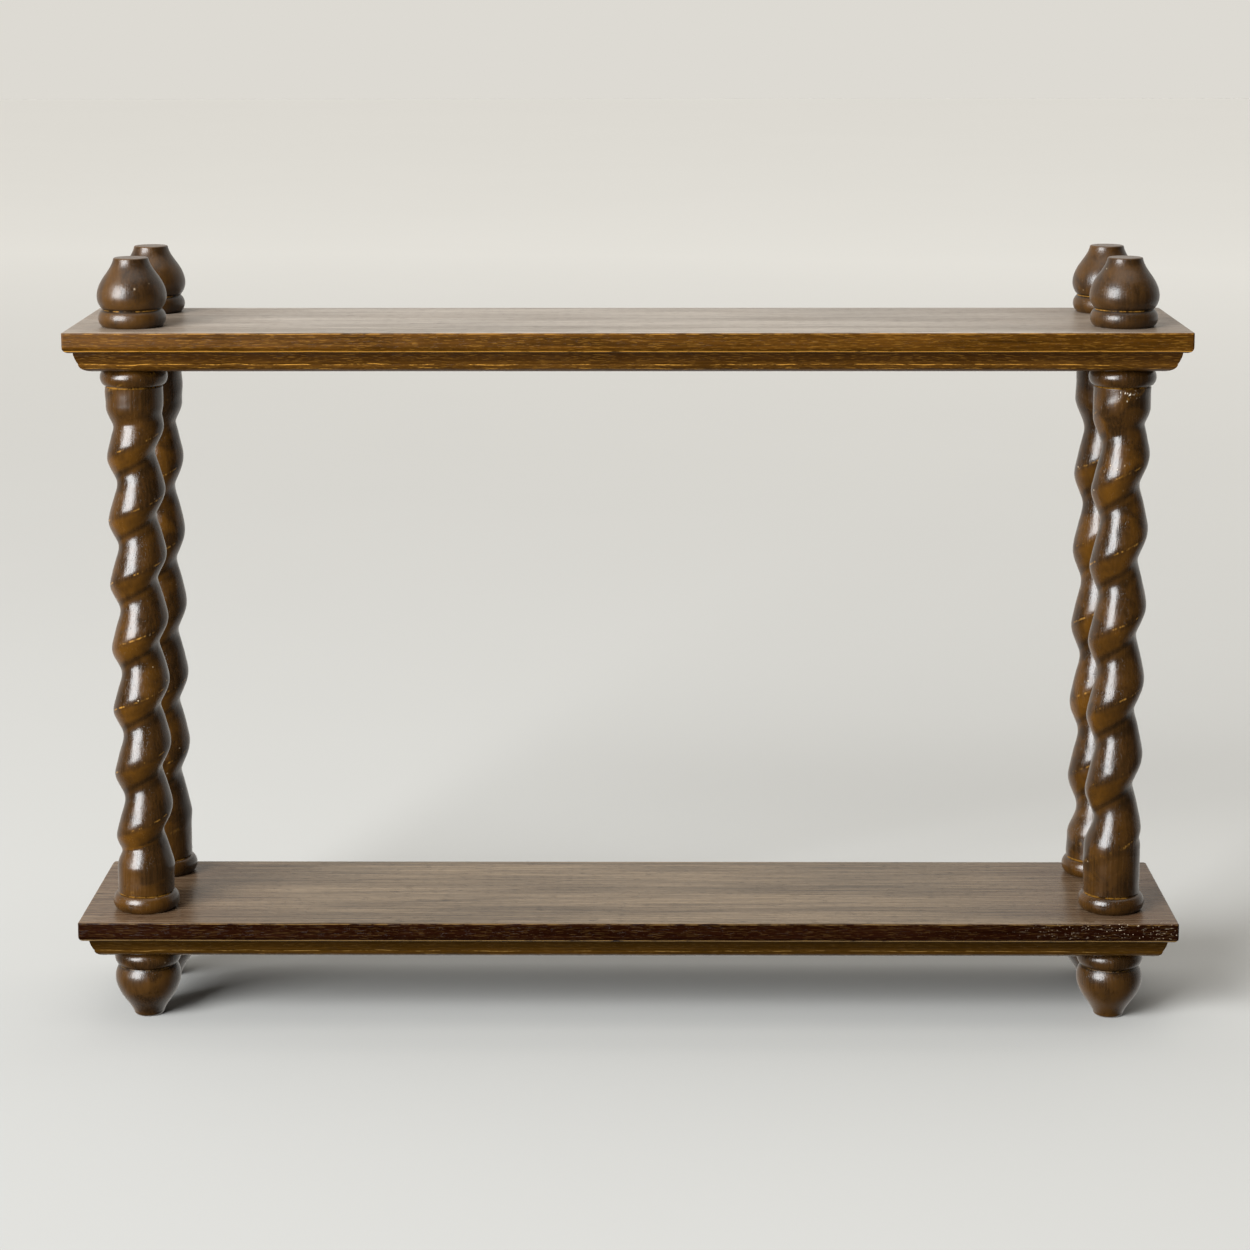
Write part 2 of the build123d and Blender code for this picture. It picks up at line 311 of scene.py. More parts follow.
class WornLine(SharedGroup):
    """A thin uneven line rubbed through the stain along an edge."""

    title = "worn_line"
    inputs = {"Distance": 0.0, "Width": 0.0005, "Wander": 0.0004, "Gaps": 0.4}
    outputs = ("Line",)
    wander_stretch = (26.0, 26.0, 26.0)
    gap_stretch = (70.0, 150.0, 150.0)
    gap_edge = 0.16
    core = 0.35

    def work(self, bench: Bench, given: dict[str, Socket]) -> dict[str, Socket]:
        """Lay out the line.

        Args:
            bench: The bench for the group's tree.
            given: Place, Distance from the edge, Width, Wander and Gaps.

        Returns:
            Line, from 0 to 1.
        """
        slow = bench.noise(given["Place"], 3.0, 0.6, stretch=self.wander_stretch)
        swing = bench.times(bench.minus(slow, 0.5), 4.0)
        off = bench.math("ABSOLUTE", bench.onto(given["Distance"], swing, given["Wander"]))
        broken = bench.noise(given["Place"], 4.0, 0.7, stretch=self.gap_stretch)
        held = bench.ease(broken, given["Gaps"], bench.plus(given["Gaps"], self.gap_edge))
        grown = bench.times(given["Width"], bench.plus(broken, 0.5))
        line = bench.ease(off, grown, bench.times(grown, self.core))
        return {"Line": bench.times(line, held)}


class Mottle(SharedGroup):
    """Patches where hand-rubbed stain has taken more or less."""

    title = "mottle"
    inputs = {"Size": 0.03, "Share": 0.5}
    outputs = ("Patch", "Cloud")
    half_edge = 0.1

    def work(self, bench: Bench, given: dict[str, Socket]) -> dict[str, Socket]:
        """Lay out the patches.

        Args:
            bench: The bench for the group's tree.
            given: Place, Size of a patch and Share covered.

        Returns:
            Patch, with clear edges, and Cloud, which drifts slowly.
        """
        spot = bench.zoomed(given["Place"], bench.math("DIVIDE", 1.0, given["Size"]))
        cloud = bench.noise(spot, 5.0, 0.6, 0.4)
        gate = bench.onto(0.7, given["Share"], -0.4)
        patch = bench.ease(cloud, bench.minus(gate, self.half_edge), bench.plus(gate, self.half_edge))
        return {"Patch": patch, "Cloud": bench.ease(cloud, 0.25, 0.75)}


class DustSpecks(SharedGroup):
    """Small pale specks and nicks in the polish."""

    title = "dust_specks"
    inputs = {"Spacing": 0.004, "Share": 0.2}
    outputs = ("Speck",)
    smallest = 0.08
    growth = 0.16
    core = 0.4

    def work(self, bench: Bench, given: dict[str, Socket]) -> dict[str, Socket]:
        """Lay out the specks.

        Args:
            bench: The bench for the group's tree.
            given: Place, Spacing between specks and Share of them that show.

        Returns:
            Speck, from 0 to 1.
        """
        inputs = {"Vector": given["Place"], "Scale": bench.math("DIVIDE", 1.0, given["Spacing"])}
        cells = bench.add("ShaderNodeTexVoronoi", inputs, voronoi_dimensions="3D", feature="F1")
        chance, size, _ = bench.split(cells.outputs["Color"])
        shown = bench.math("LESS_THAN", chance, given["Share"])
        reach = bench.onto(self.smallest, size, self.growth)
        dot = bench.ease(cells.outputs["Distance"], reach, bench.times(reach, self.core))
        return {"Speck": bench.times(dot, shown)}


@dataclass
class Workshop:
    """The node groups that the finishes share."""

    grain: TimberGrain = field(default_factory=TimberGrain)
    worn: WornLine = field(default_factory=WornLine)
    mottle: Mottle = field(default_factory=Mottle)
    dust: DustSpecks = field(default_factory=DustSpecks)


# ---------------------------------------------------------------------------------------------
# Finishes
# ---------------------------------------------------------------------------------------------


@dataclass(frozen=True)
class Polish:
    """Gloss of a finish: constants on the shader itself."""

    coat: float = 0.0
    coat_roughness: float = 0.15
    ior: float = 1.45
    specular: float = 0.3


SATIN = Polish(specular=0.15)
GLOSS = Polish(coat=0.12, coat_roughness=0.14, specular=0.36)
BARE = Polish()
MATT = Polish(specular=0.1)
GOLD = stain(162, 116, 44)


class Paint(Bench):
    """The bench for one new material, with its shader and the shared groups at hand."""

    def __init__(self, name: str, polish: Polish, shop: Workshop) -> None:
        """Start the material.

        Args:
            name: The material's name.
            polish: Its gloss.
            shop: The shared node groups.
        """
        self.material = bpy.data.materials.new(name)
        self.material.use_nodes = True
        self.material.node_tree.nodes.clear()
        super().__init__(self.material.node_tree)
        self.shop = shop
        gloss = {
            "Coat Weight": polish.coat,
            "Coat Roughness": polish.coat_roughness,
            "IOR": polish.ior,
            "Specular IOR Level": polish.specular,
        }
        self.shader = self.add("ShaderNodeBsdfPrincipled", gloss)
        self.add("ShaderNodeOutputMaterial", {0: self.shader.outputs[0]})

    def place(self) -> Socket:
        """Give the place on the piece."""
        return self.add("ShaderNodeTexCoord").outputs["Object"]

    def seated(self, level: float) -> Socket:
        """Give the place on the piece, with its Z counted from a level."""
        inputs = {"Vector": self.place(), "Location": (0.0, 0.0, -level)}
        return self.add("ShaderNodeMapping", inputs, vector_type="POINT").outputs[0]

    def grain(self, place: Socket, fineness: float, pores: float) -> dict[str, Socket]:
        """Place the grain group."""
        return self.shop.grain.place(self, Place=place, Fineness=fineness, Pore_Share=pores)

    def mottle(self, place: Socket, size: float, share: float) -> dict[str, Socket]:
        """Place the mottle group."""
        return self.shop.mottle.place(self, Place=place, Size=size, Share=share)

    def specks(self, place: Socket, spacing: float, share: float) -> Socket:
        """Place the dust group."""
        return self.shop.dust.place(self, Place=place, Spacing=spacing, Share=share)["Speck"]

    def worn(self, place: Socket, distance: Socket, width: float, wander: float, gaps: float) -> Socket:
        """Place the worn line group."""
        values = {"Distance": distance, "Width": width, "Wander": wander, "Gaps": gaps}
        return self.shop.worn.place(self, Place=place, **values)["Line"]

    def surface(self, colour: Socket, rough: Socket, height: Socket, depth: float, strength: float) -> None:
        """Give the shader its colour, roughness and fine relief.

        Args:
            colour: The base colour.
            rough: The roughness.
            height: The relief's height, about 0 to 1.
            depth: What a height of 1 is worth, in metres.
            strength: How strongly the relief shows.
        """
        bump = self.add("ShaderNodeBump", {"Strength": strength, "Distance": depth, "Height": height})
        self.feed(self.shader.inputs["Base Color"], colour)
        self.feed(self.shader.inputs["Roughness"], rough)
        self.feed(self.shader.inputs["Normal"], bump.outputs[0])


@dataclass(frozen=True)
class MouldedBoardFinish:
    """Stained and polished board, worn through to paler wood along its moulded edges.

    Heights on the moulding are in millimetres below the board's top face.
    """

    name: str
    crown: float
    face_dark: Colour
    face_light_and_sheen: Colour
    end_reflection_tone: Colour
    band_dark: Colour
    band_light: Colour
    hollow_shade_tone: Colour
    lower_dark: Colour
    lower_light: Colour
    ledge_reflection_tone: Colour
    gold: Colour
    crown_wear: float
    nose_wear: float
    lip_wear: float
    fleck_share: float
    dusty_corner: float
    pore_depth: float
    roughness: float
    pore_tone: Colour = stain(22, 12, 7)
    dust_tone: Colour = stain(186, 170, 146)
    face_edge: Span = (0.55, 0.1)
    fleck_start: Span = (0.5, 1.5)
    fleck_shift: Triple = (0.37, 0.11, 0.05)
    end_reflection_span: Span = (0.2, 0.37)
    crown_at: float = 0.9
    nose_at: float = 12.9
    band_end: Span = (13.6, 14.6)
    ledge_at: float = 14.6
    hollow_at: float = 17.6
    lip_at: float = 22.7
    foot_at: float = 25.4
    dusty_x: Span = (0.25, 0.345)
    dusty_y: Span = (-0.066, -0.074)
    dusty_down: Span = (14.0, 8.0)
    scuff_stretch: Triple = (160.0, 600.0, 900.0)
    relief: float = 0.25 * MM
    polish: Polish = SATIN

    def make(self, shop: Workshop) -> bpy.types.Material:
        """Make the board's material.

        Args:
            shop: The shared node groups.

        Returns:
            The material.
        """
        bench = Paint(self.name, self.polish, shop)
        spot = bench.seated(self.crown)
        x, y, z = bench.split(spot)
        down = bench.times(z, -1.0 / MM)
        grain = bench.grain(spot, 1.0, 0.5)
        mottle = bench.mottle(spot, 0.07, 0.4)
        on_face = bench.ease(down, *self.face_edge)
        face = self.face(bench, grain, mottle, bench.math("ABSOLUTE", x))
        colour = bench.blend(on_face, self.edge(bench, grain, mottle, down), face)
        tint = bench.times(grain["Pore"], bench.onto(0.35, on_face, 0.65))
        colour = bench.blend(bench.times(tint, self.pore_depth), colour, self.pore_tone)
        fleck = bench.grain(bench.vector("ADD", spot, self.fleck_shift), 1.5, 0.6)["Pore"]
        fleck = bench.times(bench.times(fleck, self.fleck_share), bench.ease(down, *self.fleck_start))
        colour = bench.blend(fleck, colour, self.gold)
        gold = self.gold_lines(bench, spot, down)
        colour = bench.blend(gold, colour, self.gold)
        dust = self.dust(bench, spot, (x, y, down))
        colour = bench.blend(dust, colour, self.dust_tone)
        rough = bench.onto(self.roughness, grain["Streak"], 0.08)
        rough = bench.onto(rough, mottle["Cloud"], 0.08)
        rough = bench.onto(rough, gold, 0.15)
        rough = bench.onto(rough, dust, 0.3, clamp=True)
        height = bench.onto(bench.times(grain["Streak"], 0.3), grain["Pore"], -0.6)
        height = bench.onto(height, gold, -0.3)
        bench.surface(colour, rough, height, self.relief, 0.35)
        return bench.material

    def face(self, bench: Paint, grain: dict, mottle: dict, along: Socket) -> Socket:
        """Colour the flat top face: pale partly from painted sheen, with a painted reflection of the posts
        and finials making it darker and warmer towards its two ends.

        Args:
            bench: The material's bench.
            grain: The grain group's outputs.
            mottle: The mottle group's outputs.
            along: Distance from the board's middle.

        Returns:
            The face's colour.
        """
        # The pale, greyish face tones are partly the wood's colour and partly painted sheen.
        tone = bench.onto(bench.times(grain["Figure"], 0.4), grain["Streak"], 0.6)
        colour = bench.blend(tone, self.face_dark, self.face_light_and_sheen)
        # Painted reflection: darker, warmer ends of the face stand in for the posts and finials reflected
        # in it.
        warm = bench.times(bench.ease(along, *self.end_reflection_span), bench.onto(0.45, mottle["Cloud"], 0.35))
        warm = bench.times(warm, bench.onto(1.1, grain["Streak"], -0.7), clamp=True)
        return bench.blend(warm, colour, self.end_reflection_tone)

    def edge(self, bench: Paint, grain: dict, mottle: dict, down: Socket) -> Socket:
        """Colour the edge: its upper band, its lower part, and between them a painted reflection on the
        ledge and painted shade in the hollow.

        Args:
            bench: The material's bench.
            grain: The grain group's outputs.
            mottle: The mottle group's outputs.
            down: Millimetres below the top face.

        Returns:
            The edge's colour.
        """
        tone = bench.onto(bench.times(mottle["Cloud"], 0.35), grain["Streak"], 0.65)
        band = bench.blend(tone, self.band_dark, self.band_light)
        lower = bench.blend(tone, self.lower_dark, self.lower_light)
        colour = bench.blend(bench.ease(down, *self.band_end), band, lower)
        # Painted reflection: a greyer tone along the ledge stands in for the sheen it catches.
        ledge = bench.times(bench.stripe(down, self.ledge_at, 0.5, 0.8), 0.7)
        colour = bench.blend(ledge, colour, self.ledge_reflection_tone)
        # Painted shade: the hollow under the ledge is darkened, as the ledge shades it.
        hollow = bench.times(bench.stripe(down, self.hollow_at, 1.6, 2.4), 0.75)
        return bench.blend(hollow, colour, self.hollow_shade_tone)

    def gold_lines(self, bench: Paint, spot: Socket, down: Socket) -> Socket:
        """Mark where the moulding's edges are rubbed through.

        Args:
            bench: The material's bench.
            spot: The place on the board.
            down: Millimetres below the top face.

        Returns:
            The wear's mask.
        """
        worn = None
        for level, width, wander, gaps, share in (
            (self.crown_at, 0.35, 0.3, 0.42, self.crown_wear),
            (self.nose_at, 0.5, 0.35, 0.3, self.nose_wear),
            (self.lip_at, 0.35, 0.9, 0.44, self.lip_wear),
            (self.foot_at, 0.35, 1.0, 0.48, self.lip_wear * 0.8),
        ):
            place = bench.vector("ADD", spot, (0.0, 0.0, level))
            line = bench.times(bench.worn(place, bench.minus(down, level), width, wander, gaps), share)
            worn = line if worn is None else bench.math("MAXIMUM", worn, line)
        return worn

    def dust(self, bench: Paint, spot: Socket, parts: tuple[Socket, Socket, Socket]) -> Socket:
        """Mark the dust and fine scratches by the right front corner.

        Args:
            bench: The material's bench.
            spot: The place on the board.
            parts: Its X, its Y and how far it is below the top face.

        Returns:
            The dust's mask.
        """
        x, y, down = parts
        speck = bench.specks(spot, 0.0018, 0.6)
        scuff = bench.ease(bench.noise(spot, 4.0, 0.75, stretch=self.scuff_stretch), 0.6, 0.72)
        near = bench.times(bench.ease(x, *self.dusty_x), bench.ease(y, *self.dusty_y))
        near = bench.times(near, bench.ease(down, *self.dusty_down))
        marks = bench.math("MAXIMUM", bench.times(speck, 0.6), bench.times(scuff, 0.5))
        corner = bench.times(bench.times(marks, near), self.dusty_corner)
        return bench.onto(corner, speck, 0.03, clamp=True)


@dataclass(frozen=True)
class TurnedFinish:
    """Stained and polished turning: grain up its length, patchy stain, rubbed grooves with painted shade
    along them.

    Heights are in millimetres from the board face that the piece stands on or hangs from.
    """

    name: str
    foot: float
    upward: bool
    groove_at: float
    groove_wear: float
    roughness: float
    tip_at: float = 0.0
    dark: Colour = stain(22, 12, 3)
    mid: Colour = stain(51, 32, 11)
    amber: Colour = stain(76, 48, 8)
    gold: Colour = GOLD
    pore_tone: Colour = stain(26, 14, 7)
    speck_tone: Colour = stain(196, 176, 146)
    peel_stretch: Triple = (950.0, 950.0, 950.0)
    peel_side: Span = (-0.2, 0.3)
    relief: float = 0.3 * MM
    polish: Polish = GLOSS

    def make(self, shop: Workshop) -> bpy.types.Material:
        """Make the turning's material.

        Args:
            shop: The shared node groups.

        Returns:
            The material.
        """
        bench = Paint(self.name, self.polish, shop)
        spot, rise, layers = self.ground(bench)
        groove = bench.worn(spot, bench.minus(rise, self.groove_at), 0.5, 0.12, 0.4)
        # Painted shade: a dark stripe along the groove.
        shade = bench.stripe(rise, self.groove_at, 0.4, 1.6)
        colour = bench.blend(shade, layers["colour"], self.dark)
        colour = bench.blend(bench.times(groove, self.groove_wear), colour, self.gold)
        tip = bench.ease(rise, self.tip_at - 0.9, self.tip_at - 0.1)
        colour = bench.blend(bench.times(tip, 0.4), colour, self.amber)
        self.polish_up(bench, layers, colour, groove)
        return bench.material

    def ground(self, bench: Paint) -> tuple[Socket, Socket, dict]:
        """Lay out the stain that every turning shares.

        Args:
            bench: The material's bench.

        Returns:
            The place on the piece, millimetres from its foot, and the stain's layers by name.
        """
        place = bench.seated(self.foot)
        x, y, z = bench.split(place)
        rise = bench.times(z, (1.0 if self.upward else -1.0) / MM)
        spot = bench.join(z, x, y)
        grain = bench.grain(spot, 1.3, 0.3)
        mottle = bench.mottle(place, 0.026, 0.5)
        broad = bench.mottle(place, 0.09, 0.5)["Cloud"]
        tone = bench.onto(bench.times(mottle["Cloud"], 0.35), grain["Streak"], 0.55)
        tone = bench.onto(tone, grain["Figure"], 0.2)
        colour = bench.blend(tone, self.dark, self.mid)
        warm = bench.times(mottle["Patch"], bench.times(broad, 0.6))
        colour = bench.blend(warm, colour, self.amber)
        colour = bench.blend(bench.times(grain["Pore"], 0.6), colour, self.pore_tone)
        speck = bench.times(bench.specks(place, 0.0045, 0.12), bench.ease(broad, 0.55, 0.8))
        colour = bench.blend(bench.times(speck, 0.6), colour, self.speck_tone)
        peel = bench.noise(place, 1.0, 0.5, stretch=self.peel_stretch)
        peel = bench.times(peel, bench.ease(x, *self.peel_side))
        layers = {"grain": grain, "cloud": mottle["Cloud"], "speck": speck, "peel": peel, "colour": colour}
        return spot, rise, layers

    def polish_up(self, bench: Paint, layers: dict, colour: Socket, worn: Socket) -> None:
        """Give the turning its colour, its uneven gloss and its fine relief.

        Args:
            bench: The material's bench.
            layers: What ground() laid out.
            colour: The finished colour.
            worn: Mask of the rubbed places, and on the posts of the painted highlight's flecks.
        """
        grain, cloud = layers["grain"], layers["cloud"]
        rough = bench.onto(self.roughness, grain["Streak"], 0.05)
        rough = bench.onto(rough, cloud, 0.08)
        rough = bench.onto(rough, worn, 0.15, clamp=True)
        height = bench.onto(bench.times(grain["Streak"], 0.45), grain["Pore"], -0.5)
        for layer, share in ((cloud, 0.9), (layers["speck"], 0.5), (layers["peel"], 0.5)):
            height = bench.onto(height, layer, share)
        bench.surface(colour, rough, height, self.relief, 0.4)


@dataclass(frozen=True)
class TwistFinish(TurnedFinish):
    """The turned finish on a carved twist: painted light on the amber undersides, rubbed ridges, painted
    shade in the dark valleys, and a painted highlight under one post's head.
    """

    length: float = 0.0
    head_bead: float = 12.5
    glint_tone: Colour = stain(206, 196, 180)
    glint_x: Span = (0.3, 0.325)
    glint_y: Span = (-0.05, -0.06)
    glint_reach: Span = (13.0, 3.0)
    glint_stretch: Triple = (420.0, 900.0, 900.0)

    def make(self, shop: Workshop) -> bpy.types.Material:
        """Make the posts' material.

        Args:
            shop: The shared node groups.

        Returns:
            The material.
        """
        bench = Paint(self.name, self.polish, shop)
        spot, rise, layers = self.ground(bench)
        crest = bench.add("ShaderNodeAttribute", attribute_name="crest").outputs["Fac"]
        slope = bench.add("ShaderNodeAttribute", attribute_name="slope").outputs["Fac"]
        # Painted shade: the carved valleys between the crests are darkened.
        valley_shade = bench.times(bench.ease(crest, 0.38, 0.0), 0.6)
        colour = bench.blend(valley_shade, layers["colour"], self.dark)
        # Painted light: the downward-facing flanks get a lighter amber than the upward ones, a lit and
        # shaded split of one stain.
        under = bench.times(bench.ease(slope, 0.05, 0.6), bench.ease(crest, 0.1, 0.4))
        warm = bench.times(under, bench.onto(0.25, layers["cloud"], 0.6))
        colour = bench.blend(warm, colour, self.amber)
        ridge = bench.worn(spot, bench.minus(slope, 0.05), 0.1, 0.05, 0.5)
        ridge = bench.times(ridge, bench.ease(crest, 0.64, 0.88))
        near_end = bench.math("MINIMUM", rise, bench.minus(self.length / MM, rise))
        groove = bench.worn(spot, bench.minus(near_end, self.groove_at), 0.7, 0.12, 0.42)
        worn = bench.math("MAXIMUM", bench.times(ridge, 0.5), bench.times(groove, self.groove_wear))
        colour = bench.blend(worn, colour, self.gold)
        # Painted highlight: pale flecks under the right front post's head stand in for the glint on its
        # wrinkled polish; the roughness and relief they add are real.
        chalk = self.chalk(bench, spot, rise)
        colour = bench.blend(chalk, colour, self.glint_tone)
        self.polish_up(bench, layers, colour, bench.math("MAXIMUM", worn, chalk))
        return bench.material

    def chalk(self, bench: Paint, spot: Socket, rise: Socket) -> Socket:
        """Mark the painted highlight under the right front post's head: pale flecks that stand in for the
        glint on its wrinkled polish.

        Args:
            bench: The material's bench.
            spot: The place on the post.
            rise: Millimetres above the post's foot.

        Returns:
            The painted highlight's mask.
        """
        _, x, y = bench.split(spot)
        below = bench.minus(self.length / MM - self.head_bead, rise)
        near = bench.times(bench.ease(x, *self.glint_x), bench.ease(y, *self.glint_y))
        level = bench.times(bench.ease(below, *self.glint_reach), bench.ease(below, 0.0, 1.0))
        near = bench.times(near, level)
        fine = bench.noise(spot, 2.0, 0.6, stretch=self.glint_stretch)
        gate = bench.onto(0.745, near, -0.2)
        flake = bench.ease(fine, gate, bench.plus(gate, 0.08))
        return bench.times(flake, bench.times(bench.ease(near, 0.05, 0.4), 0.75))


@dataclass(frozen=True)
class SteelFinish:
    """Zinc-plated steel with a faint brushed grain, dulled in patches."""

    name: str
    bright: Colour
    dull: Colour
    roughness: float
    stretch: Triple
    relief: float = 0.1 * MM

    def make(self, shop: Workshop) -> bpy.types.Material:
        """Make the metal's material.

        Args:
            shop: The shared node groups.

        Returns:
            The material.
        """
        bench = Paint(self.name, BARE, shop)
        bench.shader.inputs["Metallic"].default_value = 1.0
        place = bench.place()
        dulled = bench.mottle(place, 0.008, 0.45)["Patch"]
        brushed = bench.noise(place, 3.0, 0.6, stretch=self.stretch)
        tone = bench.onto(bench.times(dulled, 0.6), brushed, 0.4)
        rough = bench.onto(self.roughness, tone, 0.22, clamp=True)
        bench.surface(bench.blend(tone, self.bright, self.dull), rough, brushed, self.relief, 0.25)
        return bench.material


@dataclass(frozen=True)
class PaintedFloorFinish:
    """Plain pale floor, a little paler away from the window, so that it looks evenly lit."""

    name: str
    tint: Colour
    under_window: Triple = (-1.2, -1.5, 0.0)
    paleness: float = 0.225
    growth: float = 0.62
    palest: float = 0.765
    unevenness: float = 0.006
    roughness: float = 0.9

    def make(self, shop: Workshop) -> bpy.types.Material:
        """Make the floor's material.

        Args:
            shop: The shared node groups.

        Returns:
            The material.
        """
        bench = Paint(self.name, MATT, shop)
        place = bench.place()
        inputs = {0: place, 1: self.under_window}
        away = bench.add("ShaderNodeVectorMath", inputs, operation="DISTANCE").outputs["Value"]
        pale = bench.times(bench.math("POWER", away, self.growth), self.paleness)
        pale = bench.math("MINIMUM", pale, self.palest)
        pale = bench.onto(pale, bench.mottle(place, 0.9, 0.5)["Cloud"], self.unevenness)
        bench.feed(bench.shader.inputs["Base Color"], bench.blend(pale, stain(0, 0, 0), self.tint))
        bench.shader.inputs["Roughness"].default_value = self.roughness
        return bench.material


# ---------------------------------------------------------------------------------------------
# Twist posts
# ---------------------------------------------------------------------------------------------


@dataclass(frozen=True)
class Twist:
    """One hand-cut twist: where its crest stands and how much plain collar it leaves."""

    pitch: float
    crest_height: float
    crest_facing: float
    foot_collar: float
    head_collar: float
    seed: float


class TwistTree:
    """Geometry Nodes tree that turns one post and carves its twist."""

    NUMBERS = (
        "Length", "Bead Height", "Bead Centre Radius", "Bead Round", "Groove Depth", "Groove Width",
        "Collar Radius", "Pitch", "Crest Height", "Crest Facing", "Foot Collar", "Head Collar",
        "Run Out", "Run Out Radius", "Crest Radius", "Valley Radius", "Crispness", "Lean", "Softness",
        "Tool Marks", "Wobble", "Seed", "Bore Radius", "Bore Depth", "Fine Zone", "Fine Share",
    )
    INPUTS = (
        ("NodeSocketFloat", NUMBERS),
        ("NodeSocketInt", ("Rows", "Around")),
        ("NodeSocketVector", ("Foot Place",)),
        ("NodeSocketMaterial", ("Finish",)),
    )
    WELD = 0.002 * MM
    BEAD_STEP = 0.05 * MM
    CARVED = (-0.6 * MM, 1.2 * MM)
    PLAIN_CREST = 0.6
    WANDER_RATE = 9.0
    MARKS_AROUND = 1.4
    MARKS_ALONG = 70.0

    def __init__(self) -> None:
        """Build the tree with its named inputs."""
        self.tree = bpy.data.node_groups.new("barley_twist_post", "GeometryNodeTree")
        face = self.tree.interface
        for kind, names in self.INPUTS:
            for name in names:
                face.new_socket(name=name, in_out="INPUT", socket_type=kind)
        face.new_socket(name="Post", in_out="OUTPUT", socket_type="NodeSocketGeometry")
        self.bench = Bench(self.tree)
        entry = self.bench.add("NodeGroupInput")
        self.given = {socket.name: socket for socket in entry.outputs if socket.name}
        self.build()

    def build(self) -> None:
        """Lay out the skin, the two ends and the finish."""
        bench, given = self.bench, self.given
        parts = [self.skin(), *self.end(at_head=False), *self.end(at_head=True)]
        joined = bench.add("GeometryNodeJoinGeometry")
        for part in reversed(parts):
            bench.tree.links.new(part, joined.inputs[0])
        post = joined.outputs[0]
        for kind, inputs in (
            ("GeometryNodeMergeByDistance", {"Distance": self.WELD}),
            ("GeometryNodeSetPosition", {"Offset": given["Foot Place"]}),
            ("GeometryNodeSetShadeSmooth", {}),
            ("GeometryNodeRealizeInstances", {}),
            ("GeometryNodeSetMaterial", {"Material": given["Finish"]}),
        ):
            post = bench.add(kind, {0: post, **inputs}).outputs[0]
        bench.add("NodeGroupOutput", {0: post})

    def tube(self, rows: Value) -> tuple[Socket, Socket, Socket]:
        """Add an open tube of radius 1 and height 1.

        Args:
            rows: How many rows of faces it has.

        Returns:
            The tube, the share of its height, and the angle about its axis.
        """
        bench = self.bench
        inputs = {"Vertices": self.given["Around"], "Side Segments": rows, "Radius": 1.0, "Depth": 1.0}
        tube = bench.add("GeometryNodeMeshCylinder", inputs, fill_type="NONE")
        x, y, z = bench.split(bench.add("GeometryNodeInputPosition").outputs[0])
        return tube.outputs["Mesh"], bench.plus(z, 0.5, clamp=True), bench.math("ARCTAN2", y, x)

    def placed(self, mesh: Socket, radius: Value, angle: Socket, height: Value) -> Socket:
        """Move a tube's points to a radius, an angle and a height.

        Args:
            mesh: The tube.
            radius: Each point's distance from the axis.
            angle: Its angle about the axis.
            height: Its height above the foot.

        Returns:
            The moved tube.
        """
        bench = self.bench
        x = bench.times(radius, bench.math("COSINE", angle))
        y = bench.times(radius, bench.math("SINE", angle))
        inputs = {"Geometry": mesh, "Position": bench.join(x, y, height)}
        return bench.add("GeometryNodeSetPosition", inputs).outputs[0]

    def from_end(self, height: Value, at_head: bool) -> Value:
        """Measure a height from the foot, or down from the head."""
        return self.bench.minus(self.given["Length"], height) if at_head else height

    def end(self, at_head: bool) -> list[Socket]:
        """Close one end: a flat ring inside the rim, and a bore for a dowel screw.

        Args:
            at_head: Whether it is the upper end.

        Returns:
            The ring, the bore's wall and the bore's floor.
        """
        bench, given = self.bench, self.given
        bore, depth = given["Bore Radius"], given["Bore Depth"]
        mesh, share, angle = self.tube(1)
        radius = bench.span(share, 0.0, 1.0, bore, self.bead(0.0))
        ring = self.placed(mesh, radius, angle, self.from_end(0.0, at_head))
        mesh, share, angle = self.tube(1)
        wall = self.placed(mesh, bore, angle, self.from_end(bench.times(share, depth), at_head))
        inputs = {"Vertices": given["Around"], "Radius": bore}
        disc = bench.add("GeometryNodeMeshCircle", inputs, fill_type="TRIANGLE_FAN").outputs["Mesh"]
        lift = bench.join(0.0, 0.0, self.from_end(depth, at_head))
        floor = bench.add("GeometryNodeSetPosition", {"Geometry": disc, "Offset": lift}).outputs[0]
        return [ring, wall, floor]

    def bead(self, height: Value) -> Socket:
        """Give the bead's radius at a height from its end.

        Args:
            height: Height from the nearer end.

        Returns:
            The radius.
        """
        bench, given = self.bench, self.given
        off = bench.minus(height, bench.times(given["Bead Height"], 0.5))
        room = bench.minus(bench.math("POWER", given["Bead Round"], 2.0), bench.math("POWER", off, 2.0))
        reach = bench.math("SQRT", bench.math("MAXIMUM", room, 0.0))
        return bench.plus(given["Bead Centre Radius"], reach)

    def height(self, share: Socket) -> Socket:
        """Space the rows: close together at the two ends, where the fine turning is.

        Args:
            share: Share of the rows below this one.

        Returns:
            The row's height above the foot.
        """
        bench, given = self.bench, self.given
        fine, zone = given["Fine Share"], given["Fine Zone"]
        far = bench.minus(1.0, fine)
        foot = bench.span(share, 0.0, fine, 0.0, zone)
        run = bench.span(share, fine, far, 0.0, bench.onto(given["Length"], zone, -2.0))
        head = bench.span(share, far, 1.0, 0.0, zone)
        return bench.plus(foot, bench.plus(run, head))

    def taper(self, height: Socket, collar: Socket) -> Socket:
        """Give the plain collar's radius and its fade into the twist.

        Args:
            height: Height from the nearer end.
            collar: Length of the plain collar.

        Returns:
            The radius.
        """
        bench, given = self.bench, self.given
        start = bench.plus(given["Bead Height"], collar)
        end = bench.plus(start, given["Run Out"])
        return bench.span(height, start, end, given["Collar Radius"], given["Run Out Radius"], "SMOOTHSTEP")

